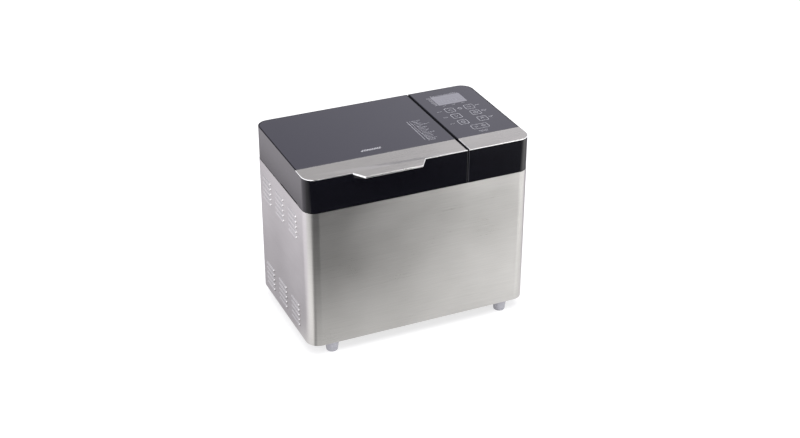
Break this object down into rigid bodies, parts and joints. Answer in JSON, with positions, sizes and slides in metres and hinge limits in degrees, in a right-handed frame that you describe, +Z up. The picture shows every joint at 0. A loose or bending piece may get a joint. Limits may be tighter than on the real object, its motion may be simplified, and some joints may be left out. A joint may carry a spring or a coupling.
{
  "type": "bread machine",
  "caption": "Box-shaped bread machine: louvred steel case on four feet, hinged black lid over an oven with a lift-out pan and kneading paddle, and a fixed touch control pod over the motor.",
  "frame": {"origin": "centre of the overall footprint, on the surface that the feet stand on", "axes": "+X to the right along the front face, +Y to the back, +Z up"},
  "size_m": [0.3636, 0.236, 0.296],
  "materials": {
    "brushed_body_steel": "satin, horizontal brushing",
    "sheet_steel": "plain pressed sheet",
    "stainless_trim": "satin, long brushing",
    "black_gloss_moulding": "polished black",
    "black_satin_moulding": "fine satin",
    "tinted_glass": "back-painted grey glass with a polished edge",
    "grey_foot": "pale grey moulding",
    "silicone": "matt",
    "bright_liner": "bright pressed sheet",
    "nonstick_coating": "speckled non-stick",
    "heater_sheath": "oxidised sheath",
    "turned_steel": "turned",
    "zinc_screw": "zinc plated",
    "cast_alloy": "as cast",
    "bronze_bush": "sintered",
    "ceramic_white": "white ceramic",
    "circuit_board": "solder mask",
    "component_plastic": "moulded cases",
    "lcd_grey": "reflective display",
    "copper_winding": "enamelled wire",
    "lamination_steel": "stacked laminations",
    "nylon_drive": "natural nylon",
    "belt_rubber": "neoprene",
    "lead_insulation": "silicone sleeve"
  },
  "bodies": {
    "root": {"outer_sleeve": "brushed_body_steel", "rear_panel": "sheet_steel", "base_tray": "black_satin_moulding", "foot_front_left": "grey_foot", "foot_rear_left": "grey_foot", "foot_front_right": "grey_foot", "foot_rear_right": "grey_foot", "deck_frame": "black_satin_moulding", "control_housing": "black_gloss_moulding", "control_glass": "tinted_glass", "control_trim": "stainless_trim", "lcd_module": "lcd_grey", "control_board": "circuit_board", "touch_pads": "silicone", "oven_chamber": "sheet_steel", "heating_element": "heater_sheath", "element_clips": "sheet_steel", "element_insulators": "ceramic_white", "temperature_sensor": "turned_steel", "thermal_fuse": "ceramic_white", "heat_shield": "sheet_steel", "chamber_spacers": "turned_steel", "pan_clips": "sheet_steel", "drive_belt": "belt_rubber", "bearing_housing": "cast_alloy", "shaft_bushes": "bronze_bush", "chassis_plate": "sheet_steel", "motor_stator": "lamination_steel", "motor_windings": "copper_winding", "motor_end_caps": "cast_alloy", "motor_capacitor": "component_plastic", "power_board": "circuit_board", "board_components": "component_plastic", "cord_gland": "black_satin_moulding", "wiring": "lead_insulation", "foot_screws": "zinc_screw", "case_screws": "zinc_screw", "deck_screws": "zinc_screw"},
    "lid": {"lid_shell": "black_gloss_moulding", "lid_glass": "tinted_glass", "lid_trim": "stainless_trim", "lid_inner_frame": "black_satin_moulding", "lid_liner": "bright_liner", "lid_hinge_pins": "turned_steel", "lid_bumpers": "silicone", "lid_screws": "zinc_screw"},
    "pan": {"bread_pan": "nonstick_coating", "pan_base_ring": "cast_alloy", "pan_bearing": "bronze_bush"},
    "handle": {"pan_handle": "turned_steel"},
    "pan_shaft": {"paddle_shaft": "turned_steel", "pan_coupler": "cast_alloy"},
    "paddle": {"kneading_paddle": "nonstick_coating"},
    "oven_drive": {"drive_shaft": "turned_steel", "drive_coupler": "cast_alloy", "large_pulley": "nylon_drive", "shaft_circlips": "zinc_screw"},
    "rotor": {"motor_rotor": "turned_steel", "motor_pulley": "nylon_drive", "motor_fan": "nylon_drive"}
  },
  "joints": [
    {"name": "lid_hinge", "type": "hinge", "parent": "root", "child": "lid", "pos_m": [-0.053, 0.1096, 0.2508], "axis": [-1, 0, 0], "range_deg": [0, 85]},
    {"name": "pan_lift", "type": "slide", "parent": "root", "child": "pan", "axis": [0, 0, 1], "range_m": [0, 0.045]},
    {"name": "handle_swing", "type": "hinge", "parent": "pan", "child": "handle", "pos_m": [-0.053, 0.009, 0.215], "axis": [-1, 0, 0], "range_deg": [0, 156]},
    {"name": "pan_shaft_spin", "type": "hinge", "parent": "pan", "child": "pan_shaft", "pos_m": [-0.053, 0.009, 0.11], "axis": [0, 0, 1], "continuous": true},
    {"name": "paddle_lift", "type": "slide", "parent": "pan_shaft", "child": "paddle", "axis": [0, 0, 1], "range_m": [0, 0.07]},
    {"name": "drive_spin", "type": "hinge", "parent": "root", "child": "oven_drive", "pos_m": [-0.053, 0.009, 0.06], "axis": [0, 0, 1], "continuous": true},
    {"name": "motor_spin", "type": "hinge", "parent": "root", "child": "rotor", "pos_m": [0.122, 0.04, 0.08], "axis": [0, 0, 1], "continuous": true}
  ],
  "couplings": [
    {"joint": "pan_shaft_spin", "follows": "drive_spin", "ratio": 1},
    {"joint": "motor_spin", "follows": "drive_spin", "ratio": 6}
  ]
}
